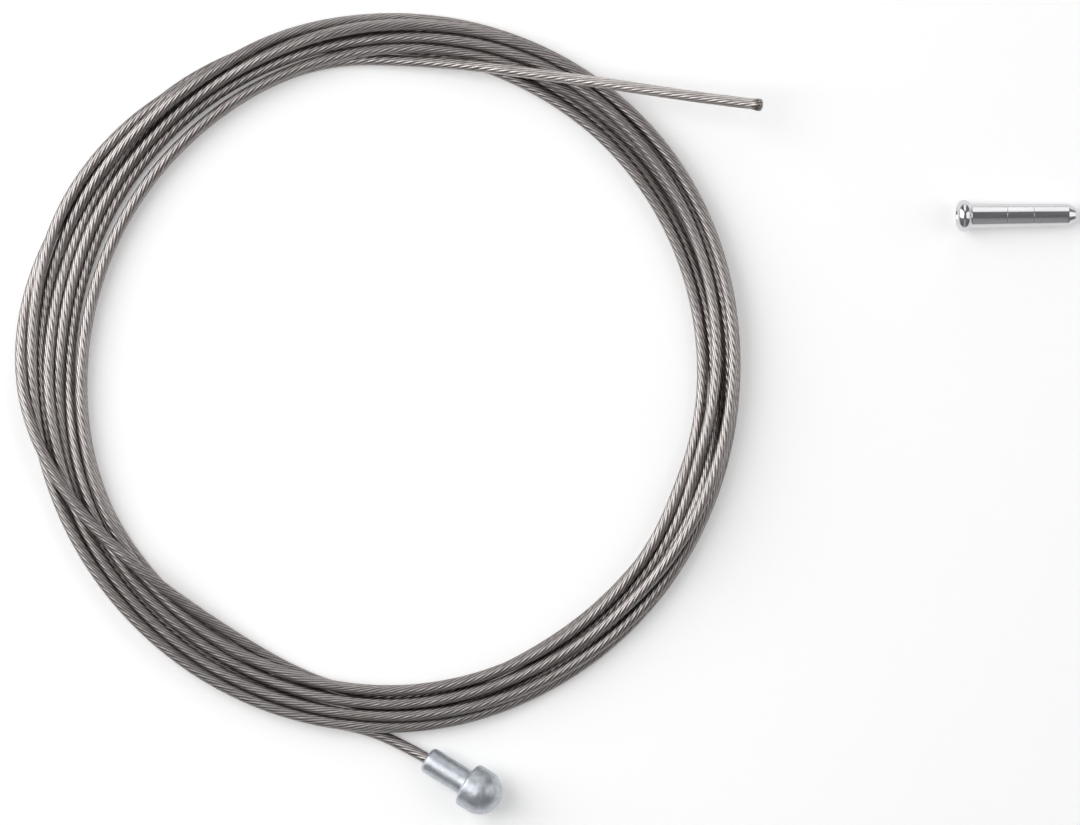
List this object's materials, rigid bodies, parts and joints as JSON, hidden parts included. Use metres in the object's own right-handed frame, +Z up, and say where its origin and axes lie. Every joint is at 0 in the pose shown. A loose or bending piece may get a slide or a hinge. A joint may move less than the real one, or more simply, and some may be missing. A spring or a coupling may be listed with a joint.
{
  "type": "bicycle brake cable",
  "caption": "Coiled stranded steel inner wire with a cast mushroom nipple on one end, a fused free end, and a loose crimp-on end cap.",
  "frame": {"origin": "bottom centre of the whole, on the surface that the coil lies on", "axes": "+Z up from the surface, +X from the coil towards the loose end cap, +Y away from the nipple"},
  "size_m": [0.1412, 0.1066, 0.0076],
  "materials": {
    "steel_wire": "bright drawn stainless wire, stranded",
    "cast_zinc": "satin die-cast zinc alloy, bluish silver",
    "bright_aluminium": "bright drawn aluminium"
  },
  "bodies": {
    "root": {"wire_coil": "steel_wire", "wire_lead": "steel_wire", "wire_tail": "steel_wire", "nipple": "cast_zinc", "end_cap": "bright_aluminium"}
  },
  "joints": []
}
